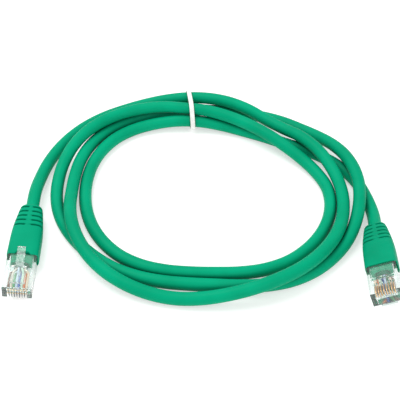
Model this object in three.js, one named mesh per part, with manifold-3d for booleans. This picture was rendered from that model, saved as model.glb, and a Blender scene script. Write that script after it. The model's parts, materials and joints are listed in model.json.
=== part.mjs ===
import * as THREE from 'three';
import { mergeVertices } from 'three/addons/utils/BufferGeometryUtils.js';
import Module from 'manifold-3d';

// A network patch cable, coiled flat and held by a twist tie. Millimetres, +Z up.
// Seen from above, the back of the coil is at +Y and its right at +X. The plugs point towards -Y.

// ---------------------------------------------------------------- driving dimensions
// Cable: a round jacket with eight insulated wires in a ring inside it.
const CABLE_OD = 5.5;
const CABLE_BORE = 4.3;
const JACKET_SIDES = 10;
const BORE_SIDES = 8;
const WIRE_OD = 0.98;
const WIRE_RING = 1.42;
const COIL_SECTIONS = 128;
const LENGTH_STEPS = 4000;

// Coil: height of a strand lying on the table, and the step up to a strand lying on top of it.
const STRAND_REST = (CABLE_OD / 2) * Math.cos(Math.PI / JACKET_SIDES);
const LAYER_STEP = 5.7;
// Distance from the coil's centre at each eighth of a turn, clockwise from the back. Tail A comes in
// from the left, and tail B leaves to the right.
const TAIL_A = [74.5, 71];
const FIRST_TURN = [58.5, 53, 59, 61.5, 60, 63, 58.5, 61.5];
const SECOND_TURN = [55, 61.5, 66.5, 63, 52.5, 58.5, 65.5, 63];
const THIRD_TURN = [48.5, 44, 54, 53, 46.5, 51.5, 53, 55];
const TAIL_B = [46, 48, 69];
const EIGHTH = 45;
const LAY_START = -90;
// The stretches in the order they were laid, from and to degrees clockwise, counted on through every
// turn. Each stretch rests on those before it.
const LAID = [[810, 1170], [285, 645], [645, 810], [-90, 285]];
const LAY_FIRST = -80;
const LAY_LAST = 1168;
const DEGREES_PER_POINT = 8;
// A strand climbs over another within this many degrees of the coil on each side of the crossing.
const CLIMB = 28;
const SETTLING_ROUNDS = 6;

// Plugs: the neck is where the cable enters the boot, heading is degrees from -Y towards +X.
// A roll about the plug's own axis lifts the +X side of the plug.
const PLUG_A = { neck: [-74.5, -11.5, 4.7], heading: 0, noseUp: 0, roll: -6, latchDown: false };
const PLUG_B = { neck: [71, -23, 4.5], heading: -4, noseUp: 12, roll: 22, latchDown: true };
const STRAIGHT_AT_NECK = 9;
const NECK_GAP = 1.1;

// Plug housing, in the plug's own frame: +Y from the neck to the nose, +Z on the latch side.
const NOSE = 46.4;
const HOUSING_LENGTH = 21.46;
const HOUSING_WIDTH = 11.68;
const HOUSING_HEIGHT = 6.6;
const HOUSING_REAR = NOSE - HOUSING_LENGTH;
const CAVITY_WIDTH = 9.7;
const CAVITY_HEIGHT = 5.7;
const CAVITY_END = 36.2;
const ROW_START = 39.5;
const ROW_END = NOSE - 1.8;
const ROW_WIDTH = 8.6;
const ROW_HEIGHT = 1.3;
const ROW_Z = 0.1;
const CONTACT_PITCH = 1.016;
const CONTACT_THICKNESS = 0.36;
const CONTACT_SLOT = 0.6;
const CONTACT_REAR = NOSE - 5.6;
const CONTACT_FRONT = NOSE - 0.7;
const CONTACT_LOW = -2.75;
const CONTACT_TOP = ROW_Z - 0.05;
const CONTACT_CORNER = 1.2;
const CONTACT_HEEL = 0.6;
const CONTACT_POINT_Z = -0.7;
const CONTACT_POINT_RUN = 1.8;
const CONTACT_SLOT_TOP = -0.35;
const CONTACT_SLOT_GAP = 0.3;
// Two steps pressed into the contact side: [from, to, depth], across this width.
const PRESSED_STEPS = [[30.2, 31.8, 0.3], [37.4, 38.6, 0.8]];
const PRESSED_WIDTH = 8.8;
const NOSE_CHAMFER = 0.8;
const CAVITY_CORNER = 0.8;
const ROW_CORNER = 0.2;
// How far a cutting block or profile passes the surface that it cuts.
const PAST = 1;

// Latch: hinged on the housing just behind the nose, rising towards its free end.
const LATCH_ROOT = NOSE - 1.3;
const LATCH_END = NOSE - 16.6;
const LATCH_ANGLE = 14.5;
const LATCH_THICKNESS = 1;
const LATCH_WIDE = 6.2;
const LATCH_NARROW = 3.25;
const LATCH_SHOULDER = NOSE - 8;
const LATCH_LIFT = 0.3;
const LATCH_STEP = 0.5;
const LATCH_STEP_RUN = 0.2;
const LATCH_TIP = 0.9;

// Boot: [distance from the neck, width, height, corner radius] of its outer sections.
const BOOT_SECTIONS = [
  [NECK_GAP, 7.8, 7, 2.6], [2.3, 9.2, 7.8, 2.8], [12.6, 12.3, 8.6, 2.8], [17.5, 12.9, 8.6, 2.6],
  [22.5, 13, 8.4, 2.2], [28.6, 13, 8.2, 1.8], [29.6, 12.7, 7.8, 1.6],
];
const POCKET_GAP = 0.3;
const NOTCH_WIDTH = 4.4;
const NOTCH_REAR = 28.2;
const BOOT_BORE = 6;
const RIB_SLOTS = 5;
const RIB_PITCH = 2.6;
const RIB_SLOT = 0.9;
const RIB_FIRST = 2.7;
const RIB_SPINE = 2.2;
const RIB_CORE = 6.9;
const BORE_FACETS = 12;
const RIB_CORE_FACETS = 16;
const PRONG_INNER = 3.15;
const PRONG_OUTER = 4.5;
const PRONG_HALF_HEIGHT = 2.2;
const PRONG_ROOT = HOUSING_REAR - 1.3;
const PRONG_END = 34.6;
const JACKET_END = 35.4;
const CORNER_STEPS = 3;

// Wire ends: [distance from the neck, share of the way from the jacket's ring to the flat row].
const WIRE_SPREAD = [
  [NECK_GAP, 0], [JACKET_END - 0.4, 0], [JACKET_END + 0.6, 0.25], [JACKET_END + 1.6, 0.5],
  [JACKET_END + 2.6, 0.75], [ROW_START + 0.3, 1], [ROW_END - 0.3, 1],
];
// A wire has moved sideways by this share of its spread, and starts to level out at that one.
const SIDEWAYS_DONE = 0.7;
const LEVEL_FROM = 0.3;
const WIRE_SLIT_GAP = 0.05;

// Twist tie: a flat ribbon round the four strands at the back of the coil.
const TIE_X = -8.5;
const TIE_LEAN = 0.12;
const TIE_BACK = FIRST_TURN[0] + CABLE_OD;
const TIE_WIDTH = 2.2;
const TIE_THICKNESS = 0.7;
const TIE_CLEARANCE = 0.65;
const TIE_TO_TABLE = 0.25;
const TIE_LIFT = CABLE_OD / 2 + TIE_CLEARANCE + TIE_THICKNESS + TIE_TO_TABLE - STRAND_REST;
const TIE_CORE_BORE = 0.36;
const TIE_CORE = 0.26;
const TIE_SECTIONS = 40;
const TIE_TAIL = 5;
const TIE_TAIL_TURNS = 1;
const TIE_TAIL_SECTIONS = 8;
const TIE_TAIL_GAP = 0.12;
const TIE_TAIL_RISE = 2;
const TIE_TAIL_OUT = 2.2;
const TIE_TAIL_STRAIGHT = 1;
const TIE_JOIN_ABOVE = 1.3;
const TIE_JOIN_BELOW = 0.8;
const TIE_SEARCH_STEPS = 3000;
const TIE_ARC_SHARES = [0, 0.33, 0.67, 1];

// ---------------------------------------------------------------- materials
const finish = (color, roughness, metalness = 0) => ({ color, roughness, metalness });
const JACKET_FINISH = finish(0x0aa37c, 0.45);
const BOOT_FINISH = finish(0x0a9f78, 0.5);
const CLEAR_FINISH = { color: 0xe6f1ee, roughness: 0.08, transparent: true, opacity: 0.4 };
const GOLD_FINISH = finish(0xd9a441, 0.25, 1);
const TIE_FINISH = finish(0xf2f2ee, 0.4);
const STEEL_FINISH = finish(0x8d9094, 0.35, 1);

// The eight wires in pin order, with their colours and their place on the ring inside the jacket.
const WIRES = [
  { name: 'white_orange', color: 0xf3dcc8, ringAngle: 157.5 },
  { name: 'orange', color: 0xe8792b, ringAngle: 202.5 },
  { name: 'white_green', color: 0xd3e8d2, ringAngle: 112.5 },
  { name: 'blue', color: 0x2e5fb3, ringAngle: 247.5 },
  { name: 'white_blue', color: 0xd0dcf0, ringAngle: 67.5 },
  { name: 'green', color: 0x2f9a4c, ringAngle: 292.5 },
  { name: 'white_brown', color: 0xe4d4c6, ringAngle: 22.5 },
  { name: 'brown', color: 0x7a4a2b, ringAngle: 337.5 },
];

// ---------------------------------------------------------------- solids and sweeps
const wasm = await Module();
wasm.setup();
const UP = new THREE.Vector3(0, 0, 1);
const MERGE_DISTANCE = 1e-4;

function solidOf(geometry) {
  const bare = geometry.clone();
  bare.deleteAttribute('normal');
  bare.deleteAttribute('uv');
  const merged = mergeVertices(bare, MERGE_DISTANCE);
  const vertProperties = merged.attributes.position.array;
  const triVerts = new Uint32Array(merged.index.array);
  return new wasm.Manifold(new wasm.Mesh({ numProp: 3, vertProperties, triVerts }));
}

function geometryOf(solid) {
  const mesh = solid.getMesh();
  const geometry = new THREE.BufferGeometry();
  geometry.setAttribute('position', new THREE.BufferAttribute(mesh.vertProperties, 3));
  geometry.setIndex(new THREE.BufferAttribute(mesh.triVerts, 1));
  return geometry;
}

function meshOf(name, geometry, look) {
  const mesh = new THREE.Mesh(geometry, new THREE.MeshStandardMaterial(look));
  mesh.name = name;
  return mesh;
}

// A box solid between two corners.
function block(low, high) {
  const size = high.map((value, i) => value - low[i]);
  const box = new THREE.BoxGeometry(...size);
  box.translate(...low.map((value, i) => value + size[i] / 2));
  return solidOf(box);
}

// A section of a sweep: a point, with the across and up directions of its plane.
function sectionAt(point, tangent) {
  const across = new THREE.Vector3().crossVectors(UP, tangent).normalize();
  const up = new THREE.Vector3().crossVectors(tangent, across).normalize();
  return { point, across, up };
}

// A regular polygon with a flat side at the bottom; a bore runs the other way round.
function polygon(sides, diameter, isBore = false) {
  const loop = [];
  for (let i = 0; i < sides; i += 1) {
    const angle = ((i + 0.5) * 2 * Math.PI) / sides - Math.PI / 2;
    loop.push(new THREE.Vector2(Math.cos(angle), Math.sin(angle)).multiplyScalar(diameter / 2));
  }
  return isBore ? loop.reverse() : loop;
}

// Sweeps an outline along sections into one closed geometry with flat ends. A section can carry
// its own outline, and a bore makes the sweep a tube.
function sweep(sections, outline, bore = []) {
  const vertices = [];
  const index = [];
  const last = sections.length - 1;
  const addWall = (loopOf, count) => {
    const first = vertices.length / 3;
    for (const section of sections) {
      for (const p of loopOf(section)) {
        const place = section.point.clone();
        place.addScaledVector(section.across, p.x).addScaledVector(section.up, p.y);
        vertices.push(place.x, place.y, place.z);
      }
    }
    for (let i = 0; i < last; i += 1) {
      for (let j = 0; j < count; j += 1) {
        const a = first + i * count + j;
        const b = first + i * count + ((j + 1) % count);
        index.push(a, b, b + count, a, b + count, a + count);
      }
    }
    return first;
  };
  const outer = addWall((section) => section.outline ?? outline, outline.length);
  const inner = bore.length ? addWall(() => bore, bore.length) : 0;
  const endVertex = (k, end) => (k < outline.length
    ? outer + end * outline.length + k
    : inner + end * bore.length + k - outline.length);
  for (const [a, b, c] of THREE.ShapeUtils.triangulateShape(outline, bore.length ? [bore] : [])) {
    index.push(endVertex(c, 0), endVertex(b, 0), endVertex(a, 0));
    index.push(endVertex(a, last), endVertex(b, last), endVertex(c, last));
  }
  const geometry = new THREE.BufferGeometry();
  geometry.setAttribute('position', new THREE.Float32BufferAttribute(vertices, 3));
  geometry.setIndex(index);
  return geometry;
}

// A tube or rod along +Y.
function rodAlongY(fromY, toY, outline, bore) {
  const forward = new THREE.Vector3(0, 1, 0);
  const sections = [fromY, toY].map((y) => sectionAt(new THREE.Vector3(0, y, 0), forward));
  return sweep(sections, outline, bore);
}

// Moves an outline off the centre of its section.
function shifted(outline, across, up) {
  return outline.map((p) => new THREE.Vector2(p.x + across, p.y + up));
}

// ---------------------------------------------------------------- the coiled cable
const LAY_RADII = [...TAIL_A, ...FIRST_TURN, ...SECOND_TURN, ...THIRD_TURN, ...TAIL_B];

// A smooth curve through the radii, so a steady radius gives a true arc.
function radiusAt(bearing) {
  const eighths = (bearing - LAY_START) / EIGHTH;
  const first = Math.floor(eighths);
  const t = eighths - first;
  const clamped = (i) => LAY_RADII[THREE.MathUtils.clamp(i, 0, LAY_RADII.length - 1)];
  const [a, b, c, d] = [first - 1, first, first + 1, first + 2].map(clamped);
  const linear = (c - a) * t;
  const squared = (2 * a - 5 * b + 4 * c - d) * t ** 2;
  const cubed = (3 * b - a - 3 * c + d) * t ** 3;
  return (2 * b + linear + squared + cubed) / 2;
}

// Where the cable lies in plan, one point for each degree from tail A to tail B, each with its
// stretch's place in the order of laying.
function layPlan() {
  const plan = [];
  for (let bearing = LAY_FIRST; bearing <= LAY_LAST; bearing += 1) {
    const angle = THREE.MathUtils.degToRad(bearing);
    const place = new THREE.Vector2(Math.sin(angle), Math.cos(angle));
    place.multiplyScalar(radiusAt(bearing));
    plan.push({ place, laid: LAID.findIndex(([from, to]) => bearing >= from && bearing < to) });
  }
  return plan;
}

// The height a point needs to clear the tie below it and every strand laid before it.
function neededHeight(plan, heights, i) {
  const { place, laid } = plan[i];
  const underTie = place.y > 0 && Math.abs(place.x - tieX(place.y)) < TIE_WIDTH;
  let needed = underTie ? STRAND_REST + TIE_LIFT : STRAND_REST;
  for (let j = 0; j < plan.length; j += 1) {
    if (plan[j].laid >= laid || Math.abs(i - j) < CLIMB) continue;
    const apart = place.distanceTo(plan[j].place);
    if (apart < LAYER_STEP) needed = Math.max(needed, heights[j] + Math.sqrt(LAYER_STEP ** 2 - apart ** 2));
  }
  return needed;
}

// A cable can't step up, so it rises and falls gently about each point that must be high.
function climbedHeight(needed, i) {
  let height = STRAND_REST;
  for (let j = Math.max(0, i - CLIMB); j < Math.min(needed.length, i + CLIMB); j += 1) {
    const share = (1 + Math.cos((Math.PI * (i - j)) / CLIMB)) / 2;
    height = Math.max(height, STRAND_REST + (needed[j] - STRAND_REST) * share);
  }
  return height;
}

// Lets the strands settle on each other.
function restingHeights(plan) {
  let heights = plan.map(() => STRAND_REST);
  for (let round = 0; round < SETTLING_ROUNDS; round += 1) {
    const needed = plan.map((_, i) => neededHeight(plan, heights, i));
    heights = plan.map((_, i) => climbedHeight(needed, i));
  }
  return heights;
}

function layPoints() {
  const plan = layPlan();
  const heights = restingHeights(plan);
  const points = plan.map(({ place }, i) => new THREE.Vector3(place.x, place.y, heights[i]));
  return points.filter((_, i) => i % DEGREES_PER_POINT === 0);
}

function plugDirection(plug) {
  const heading = THREE.MathUtils.degToRad(plug.heading);
  const tilt = THREE.MathUtils.degToRad(plug.noseUp);
  const level = Math.cos(tilt);
  return new THREE.Vector3(Math.sin(heading) * level, -Math.cos(heading) * level, Math.sin(tilt));
}

// The centre line of the cable, from the neck of plug A to the neck of plug B.
function cableCurve() {
  const neckA = new THREE.Vector3(...PLUG_A.neck);
  const neckB = new THREE.Vector3(...PLUG_B.neck);
  const behindA = neckA.clone().addScaledVector(plugDirection(PLUG_A), -STRAIGHT_AT_NECK);
  const behindB = neckB.clone().addScaledVector(plugDirection(PLUG_B), -STRAIGHT_AT_NECK);
  const points = [neckA, behindA, ...layPoints(), behindB, neckB];
  const curve = new THREE.CatmullRomCurve3(points, false, 'centripetal');
  curve.arcLengthDivisions = LENGTH_STEPS;
  return curve;
}

function cableSections(curve) {
  const sections = [];
  for (let i = 0; i <= COIL_SECTIONS; i += 1) {
    let tangent = curve.getTangentAt(i / COIL_SECTIONS);
    if (i === 0) tangent = plugDirection(PLUG_A).negate();
    if (i === COIL_SECTIONS) tangent = plugDirection(PLUG_B);
    const point = curve.getPointAt(i / COIL_SECTIONS);
    point.z = Math.max(point.z, STRAND_REST);
    sections.push(sectionAt(point, tangent));
  }
  return sections;
}

// Where a wire sits inside the jacket, as across and up from the cable's centre.
function ringPlace(wire) {
  const angle = THREE.MathUtils.degToRad(wire.ringAngle);
  return new THREE.Vector2(Math.cos(angle), Math.sin(angle)).multiplyScalar(WIRE_RING);
}

function makeCoil(curve) {
  const sections = cableSections(curve);
  const outer = polygon(JACKET_SIDES, CABLE_OD);
  const bore = polygon(BORE_SIDES, CABLE_BORE, true);
  const coil = new THREE.Group();
  coil.add(meshOf('cable_jacket', sweep(sections, outer, bore), JACKET_FINISH));
  for (const wire of WIRES) {
    const place = ringPlace(wire);
    const outline = shifted(polygon(3, WIRE_OD), place.x, place.y);
    const look = finish(wire.color, 0.5);
    coil.add(meshOf(`wire_${wire.name}`, sweep(sections, outline), look));
  }
  return coil;
}

// ---------------------------------------------------------------- twist tie
// The tie leans: its place across the coil at a distance from the coil's centre.
function tieX(y) {
  return TIE_X + TIE_LEAN * (TIE_BACK - y);
}

// Centres of the strands where the plane of the tie cuts the back of the coil, as (y, z).
function strandsAtTie(curve) {
  const found = [];
  let before = curve.getPointAt(0);
  for (let i = 1; i <= TIE_SEARCH_STEPS; i += 1) {
    const here = curve.getPointAt(i / TIE_SEARCH_STEPS);
    const crosses = (here.x - tieX(here.y)) * (before.x - tieX(before.y)) <= 0;
    if (crosses && here.y > 0) found.push(new THREE.Vector2(here.y, here.z));
    before = here;
  }
  return found;
}

// Arcs round the hull of the strands, starting and ending in the middle of the outermost side.
function tieLoop(strands) {
  const middle = strands.reduce((sum, p) => sum.add(p), new THREE.Vector2());
  middle.divideScalar(strands.length);
  const angleOf = (p) => Math.atan2(p.y - middle.y, p.x - middle.x);
  const corners = [...strands].sort((a, b) => angleOf(a) - angleOf(b));
  const lowest = corners.findIndex((p) => p.x > middle.x);
  const ring = corners.map((_, i) => corners[(lowest + 1 + i) % corners.length]);
  const reach = CABLE_OD / 2 + TIE_CLEARANCE + TIE_THICKNESS / 2;
  const normalOf = (a, b) => Math.atan2(a.x - b.x, b.y - a.y);
  const points = [];
  ring.forEach((corner, i) => {
    const fromAngle = normalOf(ring[(i + ring.length - 1) % ring.length], corner);
    let toAngle = normalOf(corner, ring[(i + 1) % ring.length]);
    if (toAngle < fromAngle) toAngle += 2 * Math.PI;
    for (const share of TIE_ARC_SHARES) {
      const angle = fromAngle + (toAngle - fromAngle) * share;
      const x = corner.x + reach * Math.cos(angle);
      const y = corner.y + reach * Math.sin(angle);
      points.push(new THREE.Vector2(x, y));
    }
  });
  return points;
}

// Sections of the ribbon: a tail, once round the strands, and the other tail.
function tieSections(curve) {
  const loop = tieLoop(strandsAtTie(curve));
  const start = loop[0];
  const end = loop[loop.length - 1];
  const half = TIE_THICKNESS / 2 + TIE_TAIL_GAP;
  const tailHeight = end.y + TIE_TAIL_RISE;
  const alongSide = (height) => end.clone().lerp(start, (height - end.y) / (start.y - end.y));
  const tailStart = alongSide(tailHeight).x + TIE_TAIL_OUT;
  const above = alongSide(tailHeight + half + TIE_JOIN_ABOVE);
  const below = alongSide(tailHeight - half - TIE_JOIN_BELOW);
  const outline = [
    new THREE.Vector2(tailStart, tailHeight + half),
    new THREE.Vector2(tailStart - TIE_TAIL_STRAIGHT, tailHeight + half),
    above, ...loop, below,
    new THREE.Vector2(tailStart - TIE_TAIL_STRAIGHT, tailHeight - half),
    new THREE.Vector2(tailStart, tailHeight - half),
  ];
  const leaning = (p) => new THREE.Vector3(tieX(p.x), p.x, p.y);
  const path = new THREE.CatmullRomCurve3(outline.map(leaning), false, 'centripetal');
  const across = new THREE.Vector3(-1, 0, 0);
  const round = [];
  for (let i = 0; i <= TIE_SECTIONS; i += 1) {
    const point = path.getPointAt(i / TIE_SECTIONS);
    const tangent = path.getTangentAt(i / TIE_SECTIONS);
    round.push({ point, across, up: new THREE.Vector3().crossVectors(tangent, across).normalize() });
  }
  const axis = leaning(new THREE.Vector2(tailStart, tailHeight));
  const firstTail = twistedTail(round[0], axis).reverse();
  return [...firstTail, ...round, ...twistedTail(round[TIE_SECTIONS], axis)];
}

// A tail carries on outwards from its first section, turning about the axis it shares.
function twistedTail(first, axis) {
  const sections = [];
  for (let i = 1; i <= TIE_TAIL_SECTIONS; i += 1) {
    const share = i / TIE_TAIL_SECTIONS;
    const turn = new THREE.Matrix4().makeRotationY(share * TIE_TAIL_TURNS * 2 * Math.PI);
    const point = first.point.clone().sub(axis).applyMatrix4(turn).add(axis);
    point.y += share * TIE_TAIL;
    const across = first.across.clone().applyMatrix4(turn);
    const up = first.up.clone().applyMatrix4(turn);
    sections.push({ point, across, up });
  }
  return sections;
}

function makeTie(curve) {
  const sections = tieSections(curve);
  const side = TIE_WIDTH / 2;
  const edge = TIE_THICKNESS / 4;
  const middle = TIE_THICKNESS / 2;
  const ribbon = [[side, -edge], [side, edge], [0, middle], [-side, edge], [-side, -edge], [0, -middle]]
    .map(([x, y]) => new THREE.Vector2(x, y));
  const tie = new THREE.Group();
  const cover = sweep(sections, ribbon, polygon(4, TIE_CORE_BORE, true));
  tie.add(meshOf('twist_tie', cover, TIE_FINISH));
  tie.add(meshOf('twist_tie_core', sweep(sections, polygon(4, TIE_CORE)), STEEL_FINISH));
  return tie;
}

// ---------------------------------------------------------------- plug housing
const contactX = (pin) => (pin - (WIRES.length - 1) / 2) * CONTACT_PITCH;

// The rear opening takes the jacket, then narrows to the flat slot that holds the row of wires.
function housingCavity() {
  const wide = roundedLoop(CAVITY_WIDTH, CAVITY_HEIGHT, CAVITY_CORNER);
  const flat = roundedLoop(ROW_WIDTH, ROW_HEIGHT, ROW_CORNER);
  const stops = [
    [HOUSING_REAR - PAST, wide, 0], [CAVITY_END, wide, 0], [ROW_START, flat, ROW_Z], [ROW_END, flat, ROW_Z],
  ];
  return solidOf(sweep(sectionsAlongY(stops), wide));
}

function contactSlot(pin) {
  const x = contactX(pin);
  const half = CONTACT_SLOT / 2;
  const low = [x - half, CONTACT_REAR - CONTACT_SLOT_GAP, -HOUSING_HEIGHT];
  return block(low, [x + half, NOSE + PAST, CONTACT_SLOT_TOP]);
}

function makeHousing(name) {
  const side = HOUSING_WIDTH / 2;
  const top = HOUSING_HEIGHT / 2;
  let housing = block([-side, HOUSING_REAR, -top], [side, NOSE, top]);
  housing = housing.subtract(housingCavity());
  for (let pin = 0; pin < WIRES.length; pin += 1) housing = housing.subtract(contactSlot(pin));
  for (const [from, to, depth] of PRESSED_STEPS) {
    const low = [-PRESSED_WIDTH / 2, from, -top - PAST];
    housing = housing.subtract(block(low, [PRESSED_WIDTH / 2, to, -top + depth]));
  }
  housing = housing.subtract(noseChamfer(top));
  return meshOf(name, geometryOf(housing), CLEAR_FINISH);
}

// The corner cut off the nose along its latch side.
function noseChamfer(top) {
  const margin = 0.1;
  const corners = [
    [NOSE - NOSE_CHAMFER, top + margin], [NOSE + margin, top - NOSE_CHAMFER], [NOSE + margin, top + margin],
  ];
  return solidOf(profileAcross(outlineOf(corners), HOUSING_WIDTH + 2 * PAST));
}

// ---------------------------------------------------------------- plug pieces
// A rounded rectangle, corner by corner.
function roundedLoop(width, height, radius) {
  const loop = [];
  const corners = [[1, -1, -90], [1, 1, 0], [-1, 1, 90], [-1, -1, 180]];
  for (const [sideways, upwards, from] of corners) {
    for (let i = 0; i <= CORNER_STEPS; i += 1) {
      const angle = THREE.MathUtils.degToRad(from + (90 * i) / CORNER_STEPS);
      const x = sideways * (width / 2 - radius) + radius * Math.cos(angle);
      const y = upwards * (height / 2 - radius) + radius * Math.sin(angle);
      loop.push(new THREE.Vector2(x, y));
    }
  }
  return loop;
}

// Sections at [distance, outline, height of the centre] along the plug.
function sectionsAlongY(stops) {
  const forward = new THREE.Vector3(0, 1, 0);
  return stops.map(([y, outline, z]) => ({ ...sectionAt(new THREE.Vector3(0, y, z), forward), outline }));
}

// A shape with straight sides between [y, z] corners.
function outlineOf(corners) {
  return new THREE.Shape(corners.map(([y, z]) => new THREE.Vector2(y, z)));
}

// A side profile drawn as (y, z), extruded across the plug with its middle at x.
function profileAcross(shape, width, x = 0) {
  const settings = { depth: width, bevelEnabled: false, curveSegments: CORNER_STEPS };
  const geometry = new THREE.ExtrudeGeometry(shape, settings);
  geometry.translate(0, 0, x - width / 2);
  const turned = new THREE.Matrix4().set(0, 0, 1, 0, 1, 0, 0, 0, 0, 1, 0, 0, 0, 0, 0, 1);
  return geometry.applyMatrix4(turned);
}

function makeBoot(name) {
  const stops = BOOT_SECTIONS.map(([y, width, height, radius]) => [y, roundedLoop(width, height, radius), 0]);
  let boot = solidOf(sweep(sectionsAlongY(stops), stops[0][1]));
  const pocketX = HOUSING_WIDTH / 2 + POCKET_GAP / 2;
  const pocketZ = HOUSING_HEIGHT / 2 + POCKET_GAP / 2;
  const pocketRear = HOUSING_REAR - POCKET_GAP;
  boot = boot.subtract(block([-pocketX, pocketRear, -pocketZ], [pocketX, NOSE, pocketZ]));
  // A notch in the socket's edge lets the end of the latch down.
  const outside = HOUSING_WIDTH;
  boot = boot.subtract(block([-NOTCH_WIDTH / 2, NOTCH_REAR, 0], [NOTCH_WIDTH / 2, NOSE, outside]));
  const core = solidOf(rodAlongY(0, NOSE, polygon(RIB_CORE_FACETS, RIB_CORE)));
  const spine = block([-RIB_SPINE / 2, 0, -outside], [RIB_SPINE / 2, NOSE, outside]);
  for (let i = 0; i < RIB_SLOTS; i += 1) {
    const y = RIB_FIRST + i * RIB_PITCH;
    const slot = block([-outside, y, -outside], [outside, y + RIB_SLOT, outside]);
    boot = boot.subtract(slot.subtract(core).subtract(spine));
  }
  for (const x of [-PRONG_OUTER, PRONG_INNER]) boot = boot.add(prong(x));
  const bore = solidOf(rodAlongY(0, NOSE, polygon(BORE_FACETS, BOOT_BORE)));
  return meshOf(name, geometryOf(boot.subtract(bore)), BOOT_FINISH);
}

// One of the two arms that reach forward from the boot on either side of the jacket.
function prong(x) {
  const low = [x, PRONG_ROOT, -PRONG_HALF_HEIGHT];
  return block(low, [x + PRONG_OUTER - PRONG_INNER, PRONG_END, PRONG_HALF_HEIGHT]);
}

function makeJacketEnd(name) {
  const outer = polygon(JACKET_SIDES, CABLE_OD);
  const bore = polygon(BORE_SIDES, CABLE_BORE, true);
  return meshOf(name, rodAlongY(NECK_GAP, JACKET_END, outer, bore), JACKET_FINISH);
}

// The latch is a plate that steps down from a wide shoulder to a narrow finger.
function makeLatch(name) {
  const slope = Math.tan(THREE.MathUtils.degToRad(LATCH_ANGLE));
  const base = HOUSING_HEIGHT / 2 + LATCH_LIFT;
  const rise = (LATCH_ROOT - LATCH_END) * slope;
  const shoulderRise = (LATCH_ROOT - LATCH_SHOULDER) * slope;
  const corners = [
    [LATCH_ROOT, base], [LATCH_ROOT, base + LATCH_THICKNESS],
    [LATCH_SHOULDER, base + shoulderRise + LATCH_THICKNESS + LATCH_STEP],
    [LATCH_SHOULDER - LATCH_STEP_RUN, base + shoulderRise + LATCH_THICKNESS],
    [LATCH_END, base + rise + LATCH_THICKNESS * LATCH_TIP], [LATCH_END, base + rise],
  ];
  const plate = solidOf(profileAcross(outlineOf(corners.reverse()), LATCH_WIDE));
  const wide = block([-LATCH_WIDE, LATCH_SHOULDER, 0], [LATCH_WIDE, NOSE, HOUSING_LENGTH]);
  const finger = block([-LATCH_NARROW / 2, 0, 0], [LATCH_NARROW / 2, NOSE, HOUSING_LENGTH]);
  return meshOf(name, geometryOf(plate.intersect(wide.add(finger))), CLEAR_FINISH);
}

// A blade with a rounded lower corner at the nose and two points that bite into the wire.
function makeContact(name, pin) {
  const shape = new THREE.Shape();
  shape.moveTo(CONTACT_REAR, CONTACT_LOW + CONTACT_HEEL);
  shape.lineTo(CONTACT_REAR + CONTACT_HEEL, CONTACT_LOW);
  shape.lineTo(CONTACT_FRONT - CONTACT_CORNER, CONTACT_LOW);
  shape.quadraticCurveTo(CONTACT_FRONT, CONTACT_LOW, CONTACT_FRONT, CONTACT_LOW + CONTACT_CORNER);
  shape.lineTo(CONTACT_FRONT, CONTACT_POINT_Z);
  shape.lineTo(CONTACT_FRONT - CONTACT_POINT_RUN, CONTACT_TOP);
  shape.lineTo((CONTACT_REAR + CONTACT_FRONT) / 2, CONTACT_POINT_Z);
  shape.lineTo(CONTACT_REAR + CONTACT_POINT_RUN, CONTACT_TOP);
  shape.lineTo(CONTACT_REAR, CONTACT_POINT_Z);
  return meshOf(name, profileAcross(shape, CONTACT_THICKNESS, contactX(pin)), GOLD_FINISH);
}

// A wire runs straight through the boot, spreads into the flat row and is slit by its contact.
function makeWireEnd(name, pin, turned) {
  const ring = ringPlace(WIRES[pin]);
  const startZ = turned ? -ring.y : ring.y;
  const sections = WIRE_SPREAD.map(([y, share]) => {
    const sideways = THREE.MathUtils.smoothstep(share, 0, SIDEWAYS_DONE);
    const level = THREE.MathUtils.smoothstep(share, LEVEL_FROM, 1);
    const x = THREE.MathUtils.lerp(ring.x, contactX(pin), sideways);
    const z = THREE.MathUtils.lerp(startZ, ROW_Z, level);
    return sectionAt(new THREE.Vector3(x, y, z), new THREE.Vector3(0, 1, 0));
  });
  const x = contactX(pin);
  const half = CONTACT_THICKNESS / 2 + WIRE_SLIT_GAP;
  const low = [x - half, CONTACT_REAR - 2 * WIRE_SLIT_GAP, -HOUSING_HEIGHT];
  const slit = block(low, [x + half, NOSE, CONTACT_TOP + WIRE_SLIT_GAP]);
  const wire = solidOf(sweep(sections, polygon(4, WIRE_OD))).subtract(slit);
  return meshOf(name, geometryOf(wire), finish(WIRES[pin].color, 0.5));
}

function makePlug(letter, place) {
  const plug = new THREE.Group();
  plug.add(makeHousing(`housing_${letter}`));
  plug.add(makeLatch(`latch_${letter}`));
  plug.add(makeBoot(`boot_${letter}`));
  plug.add(makeJacketEnd(`jacket_end_${letter}`));
  WIRES.forEach((wire, pin) => {
    plug.add(makeContact(`contact_${letter}_${pin + 1}`, pin));
    plug.add(makeWireEnd(`wire_end_${letter}_${wire.name}`, pin, place.latchDown));
  });
  plug.position.set(...place.neck);
  const tilt = THREE.MathUtils.degToRad(place.noseUp);
  const heading = THREE.MathUtils.degToRad(180 + place.heading);
  const roll = THREE.MathUtils.degToRad(place.roll) + (place.latchDown ? Math.PI : 0);
  plug.rotation.set(tilt, roll, heading, 'ZXY');
  return plug;
}

// ---------------------------------------------------------------- the whole cable
const centreLine = cableCurve();
const cable = new THREE.Group();
cable.add(makeCoil(centreLine));
cable.add(makeTie(centreLine));
cable.add(makePlug('a', PLUG_A));
cable.add(makePlug('b', PLUG_B));

// The origin is the middle of the footprint, on the table.
const extent = new THREE.Box3().setFromObject(cable, true);
const middle = extent.getCenter(new THREE.Vector3());
cable.position.set(-middle.x, -middle.y, -extent.min.z);

const group = new THREE.Group();
group.add(cable);
export default group;
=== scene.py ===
import json
import math

import bmesh
import bpy
import numpy as np
from mathutils import Matrix, Vector


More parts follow.
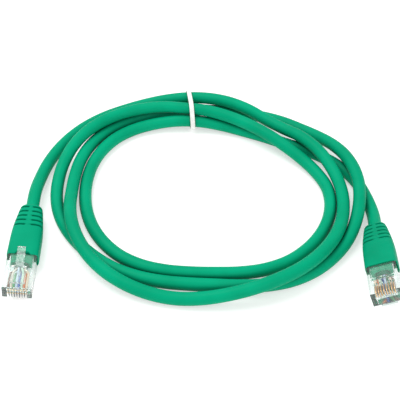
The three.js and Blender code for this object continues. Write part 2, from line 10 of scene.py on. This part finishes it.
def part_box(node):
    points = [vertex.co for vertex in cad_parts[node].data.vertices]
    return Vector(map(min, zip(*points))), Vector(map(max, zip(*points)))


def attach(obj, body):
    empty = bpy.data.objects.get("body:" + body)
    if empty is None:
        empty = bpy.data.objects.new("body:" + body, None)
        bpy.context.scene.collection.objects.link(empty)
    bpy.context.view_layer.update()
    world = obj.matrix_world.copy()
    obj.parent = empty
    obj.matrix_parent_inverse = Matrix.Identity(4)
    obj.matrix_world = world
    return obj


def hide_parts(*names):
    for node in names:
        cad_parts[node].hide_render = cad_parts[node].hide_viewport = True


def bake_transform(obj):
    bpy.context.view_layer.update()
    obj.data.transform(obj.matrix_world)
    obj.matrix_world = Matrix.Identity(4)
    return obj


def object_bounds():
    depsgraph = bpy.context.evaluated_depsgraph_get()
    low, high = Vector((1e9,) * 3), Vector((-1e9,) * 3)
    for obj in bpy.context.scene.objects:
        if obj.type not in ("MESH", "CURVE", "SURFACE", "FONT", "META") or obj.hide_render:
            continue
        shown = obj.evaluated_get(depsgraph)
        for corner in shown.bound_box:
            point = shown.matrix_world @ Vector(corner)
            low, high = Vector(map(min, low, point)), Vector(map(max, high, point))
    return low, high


# A coiled network patch cable. Lengths are metres; the plug and tie sections work in millimetres
# in the plug's own frame and are scaled by MM when they are placed.
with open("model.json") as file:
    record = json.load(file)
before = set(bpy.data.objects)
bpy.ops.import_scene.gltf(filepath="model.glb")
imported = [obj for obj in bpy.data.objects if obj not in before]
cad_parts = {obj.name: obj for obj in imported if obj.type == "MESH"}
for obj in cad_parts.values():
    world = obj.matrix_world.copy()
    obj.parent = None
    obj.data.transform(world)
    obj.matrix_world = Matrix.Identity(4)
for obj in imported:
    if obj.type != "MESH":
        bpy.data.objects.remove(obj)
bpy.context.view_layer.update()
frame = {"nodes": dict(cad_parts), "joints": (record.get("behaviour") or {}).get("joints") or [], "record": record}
MM = 0.001

# Camera: over the front of the coil, looking down at it.
CAMERA_ELEVATION = 45
CAMERA_DISTANCE = 0.3912
CAMERA_LENS = 80
CAMERA_TARGET = Vector((-0.0003, -0.0012, 0))

# Cable, as in the CAD model.
CABLE_RADIUS = 2.75
BORE_RADIUS = 2.15
CABLE_SIDES = 28
RINGS_PER_STATION = 6

# Plug, in its own frame: +Y from the neck to the nose, +Z on the latch side.
NECK_GAP = 1.1
JACKET_END = 35.4
BOOT_BORE_RADIUS = 2.85
# How far the twist tie leans across the coil for each unit of depth.
TIE_LEAN = 0.12
# Spacing of the centre-line points inside the boot, and how near to the neck they go.
PLUG_STEP = 1.5
PLUG_FIRST = 0.4
WELD_DISTANCE = 1e-6

JOINTS = {joint["name"]: joint for joint in frame["joints"]}
MOUNTS = {mount["name"]: mount for mount in frame["record"]["mounts"]}
WIRE_NAMES = (
    "white_orange", "orange", "white_green", "blue",
    "white_blue", "green", "white_brown", "brown",
)


def smoothstep(low, high, x):
    """Rises gently from 0 at low to 1 at high."""
    t = np.clip((np.asarray(x, float) - low) / (high - low), 0, 1)
    return t * t * (3 - 2 * t)


# ---------------------------------------------------------------- meshes from rings of points
def new_object(name, points, faces):
    """A smooth-shaded mesh object, linked into the scene."""
    mesh = bpy.data.meshes.new(name)
    mesh.from_pydata([tuple(p) for p in points], [], faces)
    mesh.polygons.foreach_set("use_smooth", [True] * len(mesh.polygons))
    mesh.update()
    made = bpy.data.objects.new(name, mesh)
    bpy.context.scene.collection.objects.link(made)
    return made


def ring_faces(rings, sides, closed):
    """Quads between neighbouring rings; a closed stack joins its last ring to its first."""
    faces = []
    for i in range(rings if closed else rings - 1):
        here, there = i * sides, ((i + 1) % rings) * sides
        for j in range(sides):
            k = (j + 1) % sides
            faces.append((here + j, here + k, there + k, there + j))
    return faces


def tube_object(name, outer_rings, inner_rings):
    """A tube: its outer rings from end to end, and its inner rings back again."""
    rings = list(outer_rings) + list(inner_rings)[::-1]
    sides = len(rings[0])
    return new_object(name, [p for ring in rings for p in ring], ring_faces(len(rings), sides, True))


def rod_object(name, rings):
    """A solid rod with a flat fan at each end."""
    sides = len(rings[0])
    points = [p for ring in rings for p in ring]
    faces = ring_faces(len(rings), sides, False)
    for ring_index, flip in ((0, True), (len(rings) - 1, False)):
        centre = len(points)
        points.append(sum((Vector(p) for p in rings[ring_index]), Vector()) / sides)
        for j in range(sides):
            a = ring_index * sides + j
            b = ring_index * sides + (j + 1) % sides
            faces.append((b, a, centre) if flip else (a, b, centre))
    return new_object(name, points, faces)


def circle_ring(centre, across, up, radius, sides):
    angles = [2 * math.pi * j / sides for j in range(sides)]
    return [centre + radius * (math.cos(a) * across + math.sin(a) * up) for a in angles]


def upright_axes(tangent):
    """The sideways and upward directions of a section square to the tangent."""
    across = Vector((0, 0, 1)).cross(tangent).normalized()
    return across, tangent.cross(across).normalized()


# ---------------------------------------------------------------- places taken from the frame
def plug_matrix(letter):
    """Places plug millimetres in the frame: the neck, and the directions of nose and latch side."""
    neck = Vector(JOINTS[f"plug_{letter}_swing"]["pos_m"])
    forward = Vector(MOUNTS[f"plug_{letter}_nose"]["axis"]).normalized()
    up = -Vector(MOUNTS[f"plug_{letter}_contact_side"]["axis"]).normalized()
    across = forward.cross(up)
    turn = Matrix((across, forward, up)).transposed().to_4x4()
    return Matrix.Translation(neck) @ turn @ Matrix.Scale(MM, 4)


def jacket_stations():
    """The middle of each ring of the CAD jacket's outside, walked from plug A to plug B."""
    cad = bmesh.new()
    cad.from_mesh(frame["nodes"]["cable_jacket"].data)
    bmesh.ops.remove_doubles(cad, verts=cad.verts, dist=WELD_DISTANCE)
    cad.verts.index_update()
    neck_a = Vector(JOINTS["plug_a_swing"]["pos_m"])
    neck_b = Vector(JOINTS["plug_b_swing"]["pos_m"])
    near = [v for v in cad.verts if (v.co - neck_a).length < 2 * CABLE_RADIUS * MM]
    rim = (CABLE_RADIUS + BORE_RADIUS) / 2 * MM
    ring = {v for v in near if (v.co - neck_a).length > rim}
    seen = set(near)
    stations = []
    while ring:
        # A set has no fixed order, and sums in a fixed order round the same way on every run.
        in_order = sorted(ring, key=lambda v: v.index)
        middle = sum((v.co for v in in_order), Vector()) / len(in_order)
        stations.append(middle)
        if (middle - neck_b).length < rim:
            break
        ring = {e.other_vert(v) for v in ring for e in v.link_edges} - seen
        seen |= ring
    cad.free()
    return stations


def smooth_line(stations, steps):
    """Catmull-Rom points through the stations, each with its direction."""
    ends = [2 * stations[0] - stations[1], *stations, 2 * stations[-1] - stations[-2]]
    line = []
    for i in range(1, len(ends) - 2):
        a, b, c, d = ends[i - 1:i + 3]
        for k in range(steps):
            t = k / steps
            point = 0.5 * (2 * b + (c - a) * t + (2 * a - 5 * b + 4 * c - d) * t ** 2
                           + (3 * b - a - 3 * c + d) * t ** 3)
            slope = 0.5 * ((c - a) + 2 * (2 * a - 5 * b + 4 * c - d) * t
                           + 3 * (3 * b - a - 3 * c + d) * t ** 2)
            line.append((point, slope.normalized()))
    line.append((stations[-1], (stations[-1] - stations[-2]).normalized()))
    return line


# ---------------------------------------------------------------- the jacket
def jacket_rings(line, radius):
    """Round sections of the jacket's outside or bore along a line."""
    rings = []
    for point, tangent in line:
        across, up = upright_axes(tangent)
        rings.append(circle_ring(point, across, up, radius * MM, CABLE_SIDES))
    return rings


def straight_in_plug(letter, to_plug):
    """Centre-line points inside the boot, ordered towards the coil, or away from it."""
    place = plug_matrix(letter)
    forward = (place.to_3x3() @ Vector((0, 1, 0))).normalized()
    stops = np.arange(JACKET_END, PLUG_FIRST, -PLUG_STEP)
    direction = forward if to_plug else -forward
    points = [(place @ Vector((0, y, 0)), direction) for y in stops]
    return points[::-1] if to_plug else points


def flex(piece):
    """Bakes a piece's placement into its mesh."""
    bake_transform(piece)


def tie_crossings(line):
    """Places on the centre line that pass under the twist tie, which leans across the coil."""
    low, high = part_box("twist_tie")
    middle = (low + high) / 2

    def past(point):
        return point.x - middle.x + TIE_LEAN * (point.y - middle.y)

    found = []
    for i in range(1, len(line)):
        here, before = line[i][0], line[i - 1][0]
        if here.y > low.y and past(here) * past(before) <= 0:
            found.append(i)
    return found


def make_jacket(line, first, last):
    """The jacket in three lengths, with its two seams hidden under the twist tie."""
    parts = {
        "jacket_tail_a": straight_in_plug("a", False) + line[:first + 1],
        "jacket_coil": line[first:last + 1],
        "jacket_tail_b": line[last:] + straight_in_plug("b", True),
    }
    pieces = {}
    for name, part in parts.items():
        outside = jacket_rings(part, CABLE_RADIUS)
        pieces[name] = tube_object(name, outside, jacket_rings(part, BORE_RADIUS))
    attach(pieces["jacket_coil"], "coil")
    flex(pieces["jacket_tail_a"])
    flex(pieces["jacket_tail_b"])
    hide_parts("cable_jacket")
    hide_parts("jacket_end_a")
    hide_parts("jacket_end_b")
    return list(pieces.values())


# ---------------------------------------------------------------- boots
# Sections are distance from the neck, width, height and squareness (2 is an ellipse).
BOOT = (
    (NECK_GAP, 7.4, 6.6, 2.5), (1.5, 8.4, 7.3, 2.7), (2.3, 9.4, 7.8, 3), (7, 10.9, 8.2, 3.3),
    (12.6, 12.3, 8.5, 3.6), (17.5, 12.9, 8.5, 3.8), (22.5, 13, 8.3, 4.4), (28.6, 13, 8.1, 5),
    (29.4, 12.7, 7.8, 5.5),
)
BOOT_FRONT = BOOT[-1][0]
BOOT_SIDES = 80
# The spacing of rings over the ribs and along the plain part.
RIB_RING_STEP = 0.1
PLAIN_RING_STEP = 0.4
# The front of the boot is a socket round the rear of the housing.
SOCKET = (
    (29.6, 12.2, 7.2, 7), (29.5, 11.96, 6.9, 9), (24.8, 11.96, 6.9, 9), (24.65, 11.8, 6.7, 9),
)
# The socket's front edge draws back by the notch's depth, under the end of the latch.
NOTCH_HALF = 2.2
NOTCH_SHOULDER = 0.7
NOTCH_DEPTH = 1.3
NOTCH_REACH = 1
# A stepped tongue runs on inside the housing.
TONGUE = (
    (24.65, 9.5, 5.5, 7), (30.1, 9.4, 5.4, 7), (30.25, 8.9, 4.8, 6), (31, 8.9, 4.8, 6),
    (31.15, 9.3, 5.2, 7), (31.8, 9.3, 5.2, 7), (31.95, 8.8, 4.7, 6), (32.6, 8.8, 4.7, 6),
    (32.75, 9.1, 5, 7), (33.1, 8.9, 4.8, 6), (33.25, 8.3, 4.3, 5),
)
BORE_STOPS = (NECK_GAP, 12, 24.6, TONGUE[-1][0])
# Rib slots either side of a spine, each with a softened edge.
RIB_FIRST = 3.15
RIB_PITCH = 2.6
RIB_COUNT = 5
RIB_HALF = 0.42
RIB_DEPTH = 1.15
RIB_EDGE_INSIDE = 0.12
RIB_EDGE_OUTSIDE = 0.08
SPINE_HALF = 1.0
SPINE_EDGE = 0.3


def eased(xs, ys, x):
    """A smooth curve through (xs, ys) that doesn't overshoot."""
    xs, ys = np.array(xs, float), np.array(ys, float)
    step = np.diff(ys) / np.diff(xs)
    product = step[1:] * step[:-1]
    total = step[1:] + step[:-1]
    between = np.where(product > 0, 2 * product / np.where(total == 0, 1, total), 0)
    slope = np.concatenate(([step[0]], between, [step[-1]]))
    i = int(np.clip(np.searchsorted(xs, x) - 1, 0, len(xs) - 2))
    h = xs[i + 1] - xs[i]
    t = (x - xs[i]) / h
    return ((2 * t ** 3 - 3 * t ** 2 + 1) * ys[i] + (t ** 3 - 2 * t ** 2 + t) * h * slope[i]
            + (3 * t ** 2 - 2 * t ** 3) * ys[i + 1] + (t ** 3 - t ** 2) * h * slope[i + 1])


def squared_ring(y, width, height, power, groove=0.0):
    """A rounded-rectangle section of the boot, drawn in by the groove except at the spine."""
    ring = []
    for j in range(BOOT_SIDES):
        a = 2 * math.pi * (j + 0.5) / BOOT_SIDES
        c, s = math.cos(a), math.sin(a)
        x = width / 2 * math.copysign(abs(c) ** (2 / power), c)
        z = height / 2 * math.copysign(abs(s) ** (2 / power), s)
        depth = groove * float(smoothstep(SPINE_HALF, SPINE_HALF + SPINE_EDGE, abs(x)))
        shrink = 1 - depth / math.hypot(x, z)
        ring.append(Vector((x * shrink, y - notch_at(x, y, z), z * shrink)))
    return ring


def notch_at(x, y, z):
    """How far the front edge of the socket draws back, on the latch side only."""
    notch_rear = SOCKET[1][0] - NOTCH_REACH
    if z < 0 or not notch_rear < y <= SOCKET[0][0]:
        return 0.0
    towards_edge = float(smoothstep(notch_rear, BOOT_FRONT, y))
    beside = float(smoothstep(NOTCH_HALF, NOTCH_HALF + NOTCH_SHOULDER, abs(x)))
    return NOTCH_DEPTH * towards_edge * (1 - beside)


def groove_at(y):
    """Depth of the rib slots at a distance from the neck."""
    depth = 0.0
    for i in range(RIB_COUNT):
        away = abs(y - RIB_FIRST - i * RIB_PITCH)
        outside = float(smoothstep(RIB_HALF - RIB_EDGE_INSIDE, RIB_HALF + RIB_EDGE_OUTSIDE, away))
        depth = max(depth, RIB_DEPTH * (1 - outside))
    return depth


def boot_rings():
    """Sections from the neck to the front edge, then back into the socket and over the tongue."""
    ys = [section[0] for section in BOOT]
    ribs_end = RIB_FIRST + RIB_PITCH * (RIB_COUNT - 1) + 1
    stops = np.concatenate((
        np.arange(NECK_GAP, ribs_end, RIB_RING_STEP),
        np.arange(ribs_end, BOOT_FRONT, PLAIN_RING_STEP),
        [BOOT_FRONT],
    ))
    rings = []
    for y in stops:
        width, height, power = (eased(ys, [s[k] for s in BOOT], y) for k in (1, 2, 3))
        rings.append(squared_ring(y, width, height, power, groove_at(y)))
    rings += [squared_ring(*section) for section in SOCKET + TONGUE]
    return rings


def bore_ring(y):
    """A round section of the hole that the jacket runs through."""
    ring = []
    for j in range(BOOT_SIDES):
        a = 2 * math.pi * (j + 0.5) / BOOT_SIDES
        ring.append(Vector((BOOT_BORE_RADIUS * math.cos(a), y, BOOT_BORE_RADIUS * math.sin(a))))
    return ring


def in_place(rings, letter):
    """Moves rings from a plug's own millimetres to their place in the frame."""
    place = plug_matrix(letter)
    return [[place @ p for p in ring] for ring in rings]


def make_boot(letter):
    """The strain relief: a ribbed shell round the jacket, with a socket and a tongue in front."""
    # The rings turn about -Y, so they run from nose to neck for the faces to point outwards.
    outer = in_place(boot_rings()[::-1], letter)
    inner = in_place([bore_ring(y) for y in BORE_STOPS][::-1], letter)
    boot = tube_object(f"boot_shell_{letter}", outer, inner)
    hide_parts(f"boot_{letter}")
    flex(boot)
    return boot


# ---------------------------------------------------------------- the eight wires
WIRE_RADIUS = 0.47
WIRE_RING = 1.42
WIRE_SIDES = 12
CONTACT_PITCH = 1.016
# The flat row of wires under the contacts.
ROW_START = 39.5
ROW_END = 44.3
ROW_Z = 0.1
# The wires leave the ring just inside the jacket's end, and all lie level just past the row's start.
SPREAD_FROM = JACKET_END - 0.4
SPREAD_TO = ROW_START + 0.3
SIDEWAYS_DONE = 0.7
LEVEL_FROM = 0.3
STRAIGHT_STEP = 2
SPREAD_STEP = 0.25
# Where each wire sits in the ring, in pin order.
RING_ANGLES = (157.5, 202.5, 112.5, 247.5, 67.5, 292.5, 22.5, 337.5)
# Distance from the neck over which the ring of wires turns from the plug's roll to upright.
TURN_INTO_PLUG = 15


def ring_place(pin):
    """Where a wire sits in the ring inside the jacket."""
    angle = math.radians(RING_ANGLES[pin])
    return WIRE_RING * math.cos(angle), WIRE_RING * math.sin(angle)


def wire_in_plug(letter, pin):
    """From the neck through the boot, then a spread into the flat row under the contacts."""
    place = plug_matrix(letter)
    from_x, from_z = ring_place(pin)
    if place.to_3x3().col[2].z < 0:
        from_z = -from_z
    to_x = (pin - (len(WIRE_NAMES) - 1) / 2) * CONTACT_PITCH
    straight = np.arange(0, JACKET_END - 1, STRAIGHT_STEP)
    spread = np.arange(JACKET_END - 1, ROW_END, SPREAD_STEP)
    points = []
    for y in np.concatenate((straight, spread)):
        share = (y - SPREAD_FROM) / (SPREAD_TO - SPREAD_FROM)
        sideways = float(smoothstep(0, SIDEWAYS_DONE, share))
        level = float(smoothstep(LEVEL_FROM, 1, share))
        x = from_x + (to_x - from_x) * sideways
        points.append(place @ Vector((x, y, from_z + (ROW_Z - from_z) * level)))
    return points


def wire_in_coil(part, pin):
    """One wire's path beside the centre line of the cable."""
    x, z = ring_place(pin)
    points = []
    for point, tangent in part:
        across, up = upright_axes(tangent)
        points.append(point + MM * (x * across + z * up))
    return points


def wire_tail(letter, pin, part):
    """From the contacts to the tie: the ring of wires turns from the plug's roll to upright."""
    inside = wire_in_plug(letter, pin)
    neck = Vector(JOINTS[f"plug_{letter}_swing"]["pos_m"])
    rolled = inside[0] - neck
    outside = []
    for (point, _), upright in zip(part, wire_in_coil(part, pin)):
        share = float(smoothstep(0, TURN_INTO_PLUG * MM, (point - neck).length))
        offset = rolled.lerp(upright - point, share).normalized()
        outside.append(point + offset * WIRE_RING * MM)
    return inside[::-1] + outside[1:]


def wire_object(name, path):
    """A round insulated wire along a path."""
    rings = []
    for i, point in enumerate(path):
        tangent = (path[min(i + 1, len(path) - 1)] - path[max(i - 1, 0)]).normalized()
        across, up = upright_axes(tangent)
        rings.append(circle_ring(point, across, up, WIRE_RADIUS * MM, WIRE_SIDES))
    return rod_object(name, rings)


def make_wire(pin, line, first, last):
    """One conductor in the same three lengths as the jacket."""
    name = WIRE_NAMES[pin]
    middle = wire_object(f"insulated_wire_{name}", wire_in_coil(line[first:last + 1], pin))
    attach(middle, "coil")
    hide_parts(f"wire_{name}")
    pieces = [middle]
    for letter, part in (("a", line[:first + 1]), ("b", line[last:][::-1])):
        tail = wire_object(f"insulated_wire_{letter}_{name}", wire_tail(letter, pin, part))
        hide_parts(f"wire_end_{letter}_{name}")
        flex(tail)
        pieces.append(tail)
    return pieces


# ---------------------------------------------------------------- twist tie
def smooth_copy(name, node, levels):
    """A subdivided quad copy of a swept CAD node."""
    made = bpy.data.objects.new(name, frame["nodes"][node].data.copy())
    bpy.context.scene.collection.objects.link(made)
    cad = bmesh.new()
    cad.from_mesh(made.data)
    bmesh.ops.remove_doubles(cad, verts=cad.verts, dist=WELD_DISTANCE)
    bmesh.ops.join_triangles(
        cad, faces=cad.faces, angle_face_threshold=1.2, angle_shape_threshold=1.6)
    for face in cad.faces:
        face.smooth = True
    cad.to_mesh(made.data)
    cad.free()
    rounding = made.modifiers.new("rounding", "SUBSURF")
    rounding.levels = rounding.render_levels = levels
    return made


def make_tie():
    """The ribbon, rounded from its CAD node."""
    tie = smooth_copy("tie_ribbon", "twist_tie", TIE_ROUNDING)
    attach(tie, "coil")
    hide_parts("twist_tie")
    return tie


# ---------------------------------------------------------------- material building
# Noise scales are features per metre, and bump distances are metres.
def material(name):
    made = bpy.data.materials.new(name)
    made.use_nodes = True
    nodes, links = made.node_tree.nodes, made.node_tree.links
    return made, nodes, links, nodes["Principled BSDF"]


def noise(nodes, links, scale, detail=3):
    texture = nodes.new("ShaderNodeTexNoise")
    texture.inputs["Scale"].default_value = scale
    texture.inputs["Detail"].default_value = detail
    links.new(nodes.new("ShaderNodeTexCoord").outputs["Object"], texture.inputs["Vector"])
    return texture.outputs["Fac"]


def ramp(nodes, links, value, low, high, dark, light):
    """A colour that goes from dark to light as the value goes from low to high."""
    made = nodes.new("ShaderNodeValToRGB")
    made.color_ramp.elements[0].position = low
    made.color_ramp.elements[1].position = high
    made.color_ramp.elements[0].color = (*dark, 1)
    made.color_ramp.elements[1].color = (*light, 1)
    links.new(value, made.inputs["Fac"])
    return made.outputs["Color"]


def map_range(nodes, links, value, low, high):
    made = nodes.new("ShaderNodeMapRange")
    made.inputs["To Min"].default_value = low
    made.inputs["To Max"].default_value = high
    links.new(value, made.inputs["Value"])
    return made.outputs["Result"]


def bump(nodes, links, height, distance, normal=None):
    made = nodes.new("ShaderNodeBump")
    made.inputs["Distance"].default_value = distance
    made.inputs["Strength"].default_value = 1
    links.new(height, made.inputs["Height"])
    if normal is not None:
        links.new(normal, made.inputs["Normal"])
    return made.outputs["Normal"]


def shade_in_corners(nodes, links, color, distance, deepest, own_only):
    """Darkens a colour where surfaces meet: painted shade, taken from an ambient-occlusion node."""
    corners = nodes.new("ShaderNodeAmbientOcclusion")
    corners.only_local = own_only
    corners.inputs["Distance"].default_value = distance
    corners.samples = 8
    darken = nodes.new("ShaderNodeMix")
    darken.data_type = "RGBA"
    darken.blend_type = "MULTIPLY"
    darken.inputs["Factor"].default_value = 1
    links.new(color, darken.inputs["A"])
    grey = ramp(nodes, links, corners.outputs["AO"], 0.15, 0.8, (deepest,) * 3, (1, 1, 1))
    links.new(grey, darken.inputs["B"])
    return darken.outputs["Result"]


def soft_green(name, dark, light, roughness, grain, corners):
    """Soft PVC: a slow drift of colour, a patchy sheen and a fine moulded or extruded grain."""
    made, nodes, links, shader = material(name)
    drift = ramp(nodes, links, noise(nodes, links, scale=60), 0.35, 0.65, dark, light)
    # Painted shade: the base colour is darkened where surfaces meet.
    links.new(shade_in_corners(nodes, links, drift, *corners), shader.inputs["Base Color"])
    sheen = map_range(nodes, links, noise(nodes, links, scale=400), *roughness)
    links.new(sheen, shader.inputs["Roughness"])
    wavy = bump(nodes, links, noise(nodes, links, scale=250), distance=0.00012)
    fine_noise = noise(nodes, links, scale=grain, detail=2)
    fine = bump(nodes, links, fine_noise, distance=0.00001, normal=wavy)
    links.new(fine, shader.inputs["Normal"])
    shader.inputs["IOR"].default_value = 1.45
    shader.inputs["Specular IOR Level"].default_value = 0.05
    return made


def clear_plastic():
    """Moulded clear plastic, a little milky, with faint flow marks and fine scuffs."""
    made, nodes, links, shader = material("clear_plastic")
    milky, glassy = (0.86, 0.94, 0.915), (0.96, 0.985, 0.98)
    haze = ramp(nodes, links, noise(nodes, links, scale=500), 0.3, 0.7, milky, glassy)
    links.new(haze, shader.inputs["Base Color"])
    clarity = map_range(nodes, links, noise(nodes, links, scale=220), 0.93, 0.98)
    links.new(clarity, shader.inputs["Transmission Weight"])
    shader.inputs["IOR"].default_value = 1.36
    scuffs = map_range(nodes, links, noise(nodes, links, scale=900), 0.04, 0.14)
    links.new(scuffs, shader.inputs["Roughness"])
    flow = bump(nodes, links, noise(nodes, links, scale=300), distance=0.00005)
    links.new(flow, shader.inputs["Normal"])
    light_what_is_inside(nodes, links, shader)
    return made


def light_what_is_inside(nodes, links, shader):
    """Lets shadow and bounced rays straight through, so that what the plastic encloses is lit."""
    path = nodes.new("ShaderNodeLightPath")
    passing = nodes.new("ShaderNodeMath")
    passing.operation = "MAXIMUM"
    links.new(path.outputs["Is Shadow Ray"], passing.inputs[0])
    links.new(path.outputs["Is Diffuse Ray"], passing.inputs[1])
    through = nodes.new("ShaderNodeBsdfTransparent")
    through.inputs["Color"].default_value = (0.93, 0.96, 0.95, 1)
    either = nodes.new("ShaderNodeMixShader")
    links.new(passing.outputs["Value"], either.inputs["Fac"])
    links.new(shader.outputs["BSDF"], either.inputs[1])
    links.new(through.outputs["BSDF"], either.inputs[2])
    links.new(either.outputs["Shader"], nodes["Material Output"].inputs["Surface"])


def metal(name, color, roughness):
    """Bright metal with duller, rougher patches."""
    made, nodes, links, shader = material(name)
    shader.inputs["Metallic"].default_value = 1
    worn = tuple(0.8 * c for c in color)
    patches = ramp(nodes, links, noise(nodes, links, scale=900), 0.3, 0.6, worn, color)
    links.new(patches, shader.inputs["Base Color"])
    polish = map_range(nodes, links, noise(nodes, links, scale=3000), *roughness)
    links.new(polish, shader.inputs["Roughness"])
    return made


def insulation(name, color):
    """Smooth coloured plastic with a slight unevenness."""
    made, nodes, links, shader = material(name)
    dull = tuple(0.88 * c for c in color)
    patches = ramp(nodes, links, noise(nodes, links, scale=500), 0.3, 0.7, dull, color)
    links.new(patches, shader.inputs["Base Color"])
    sheen = map_range(nodes, links, noise(nodes, links, scale=2000), 0.3, 0.45)
    links.new(sheen, shader.inputs["Roughness"])
    return made


def paint(piece, look):
    """Gives a piece made here its material."""
    piece.data.materials.clear()
    piece.data.materials.append(look)


def paint_node(name, look):
    """Gives a CAD node its material at the object's level, so that its mesh stays as it is."""
    node = frame["nodes"][name]
    for slot in node.material_slots:
        slot.link = "OBJECT"
        slot.material = look


def soften_edges(node, width):
    """Rounds the edges of a CAD node for the render; its mesh stays as it is."""
    target = frame["nodes"][node]
    weld = target.modifiers.new("weld", "WELD")
    weld.merge_threshold = WELD_DISTANCE
    bevel = target.modifiers.new("edges", "BEVEL")
    bevel.width = width * MM
    bevel.segments = 2
    bevel.limit_method = "ANGLE"
    bevel.angle_limit = math.radians(30)


# ---------------------------------------------------------------- build the object
HOUSING_EDGE = 0.12
TIE_ROUNDING = 2
WIRE_COLORS = {
    "white_orange": (0.86, 0.66, 0.5), "orange": (0.75, 0.16, 0.02), "white_green": (0.62, 0.8, 0.64),
    "blue": (0.02, 0.09, 0.42), "white_blue": (0.6, 0.68, 0.86), "green": (0.02, 0.3, 0.07),
    "white_brown": (0.74, 0.6, 0.5), "brown": (0.2, 0.07, 0.03),
}
# Corners are the shade's reach in metres, its darkest grey, and whether only the piece itself counts.
jacket_green = soft_green(
    "jacket_pvc", dark=(0, 0.295, 0.148), light=(0, 0.345, 0.178),
    roughness=(0.38, 0.52), grain=9000, corners=(0.004, 0.42, False))
boot_green = soft_green(
    "boot_pvc", dark=(0, 0.275, 0.14), light=(0, 0.315, 0.165),
    roughness=(0.42, 0.55), grain=6000, corners=(0.0012, 0.35, True))
clear = clear_plastic()
gold = metal("gold_plate", (0.78, 0.54, 0.3), (0.25, 0.4))
steel = metal("tie_wire_steel", (0.5, 0.5, 0.5), (0.3, 0.45))
tie_white = insulation("tie_plastic", (0.86, 0.86, 0.83))
wire_looks = {name: insulation(f"insulation_{name}", color) for name, color in WIRE_COLORS.items()}

centre_line = smooth_line(jacket_stations(), RINGS_PER_STATION)
under_tie = tie_crossings(centre_line)
tie_span = (under_tie[0], under_tie[-1])
for piece in make_jacket(centre_line, *tie_span):
    paint(piece, jacket_green)
paint(make_tie(), tie_white)
paint_node("twist_tie_core", steel)
for pin, wire_name in enumerate(WIRE_NAMES):
    for piece in make_wire(pin, centre_line, *tie_span):
        paint(piece, wire_looks[wire_name])
for letter in "ab":
    paint(make_boot(letter), boot_green)
    for node in (f"housing_{letter}", f"latch_{letter}"):
        paint_node(node, clear)
        soften_edges(node, HOUSING_EDGE)
    for pin in range(len(WIRE_NAMES)):
        paint_node(f"contact_{letter}_{pin + 1}", gold)

# ---------------------------------------------------------------- floor, light and camera
FLOOR_HALF = 3
FLOOR_GREY = 0.62
FLOOR_GLOW = 0.5
FLOOR_ROUGHNESS = 0.7
WORLD_STRENGTH = 0.75
SENSOR_WIDTH = 36
CLIP_START = 0.01

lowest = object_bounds()[0].z
square = [(-1, -1), (1, -1), (1, 1), (-1, 1)]
floor_corners = [(x * FLOOR_HALF, y * FLOOR_HALF, lowest) for x, y in square]
floor = new_object("floor", floor_corners, [(0, 1, 2, 3)])
floor_look, _, _, floor_shader = material("floor_paper")
floor_shader.inputs["Base Color"].default_value = (FLOOR_GREY, FLOOR_GREY, FLOOR_GREY, 1)
floor_shader.inputs["Emission Color"].default_value = (1, 1, 1, 1)
floor_shader.inputs["Emission Strength"].default_value = FLOOR_GLOW
floor_shader.inputs["Roughness"].default_value = FLOOR_ROUGHNESS
paint(floor, floor_look)


def softbox(name, place, size, power):
    """A round area light that points at the middle of the table."""
    lamp = bpy.data.lights.new(name, "AREA")
    lamp.shape = "DISK"
    lamp.size = size
    lamp.energy = power
    made = bpy.data.objects.new(name, lamp)
    made.location = place
    made.rotation_euler = (-Vector(place)).to_track_quat("-Z", "Y").to_euler()
    bpy.context.scene.collection.objects.link(made)


softbox("key_light", (-0.35, 0.25, 0.9), size=0.7, power=6)
softbox("front_light", (0.4, -0.8, 0.7), size=0.8, power=3)
world = bpy.data.worlds.new("studio")
world.use_nodes = True
world.node_tree.nodes["Background"].inputs["Color"].default_value = (1, 1, 1, 1)
world.node_tree.nodes["Background"].inputs["Strength"].default_value = WORLD_STRENGTH
bpy.context.scene.world = world
bpy.context.scene.view_settings.view_transform = "Standard"

camera_data = bpy.data.cameras.new("camera")
camera_data.lens = CAMERA_LENS
camera_data.sensor_width = SENSOR_WIDTH
camera_data.clip_start = CLIP_START
camera = bpy.data.objects.new("camera", camera_data)
lift = math.radians(CAMERA_ELEVATION)
camera.location = CAMERA_TARGET + CAMERA_DISTANCE * Vector((0, -math.cos(lift), math.sin(lift)))
camera.rotation_euler = (math.pi / 2 - lift, 0, 0)
bpy.context.scene.collection.objects.link(camera)
bpy.context.scene.camera = camera
